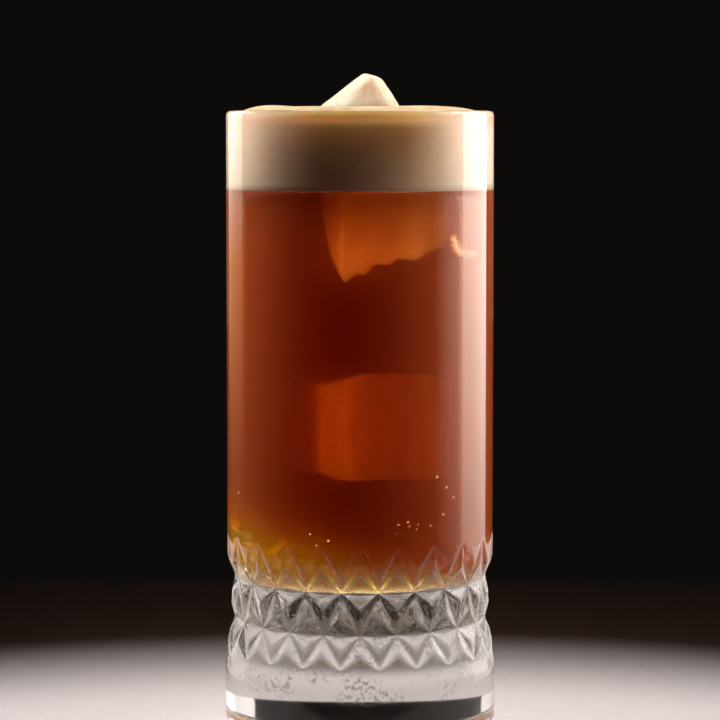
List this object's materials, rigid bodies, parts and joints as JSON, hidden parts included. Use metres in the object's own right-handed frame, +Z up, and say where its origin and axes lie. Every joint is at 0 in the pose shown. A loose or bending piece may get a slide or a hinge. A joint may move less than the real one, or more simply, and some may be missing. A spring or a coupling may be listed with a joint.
{
  "type": "carajillo tonic in a glass",
  "caption": "Tall cut-base glass filled to the brim with a layered coffee, liqueur and tonic drink under thick foam, with an ice chunk standing out.",
  "frame": {"origin": "centre of the foot ring of the glass, on the surface it stands on", "axes": "+Z up along the axis of the glass; -Y is the front, with the ice peak's steep side towards +X"},
  "size_m": [0.0662, 0.0662, 0.1582],
  "materials": {
    "clear_glass": "clear pressed glass, fire polished, with a cut band",
    "golden_liqueur": "clear golden liqueur",
    "amber_drink": "red-brown cloudy coffee and tonic",
    "coffee_foam": "dense fine coffee foam, satin and moist",
    "ice": "clear cracked ice, its tip coated with foam"
  },
  "bodies": {
    "root": {"glass": "clear_glass", "golden_layer": "golden_liqueur", "coffee_tonic": "amber_drink", "foam": "coffee_foam", "ice_chunk": "ice"}
  },
  "joints": []
}
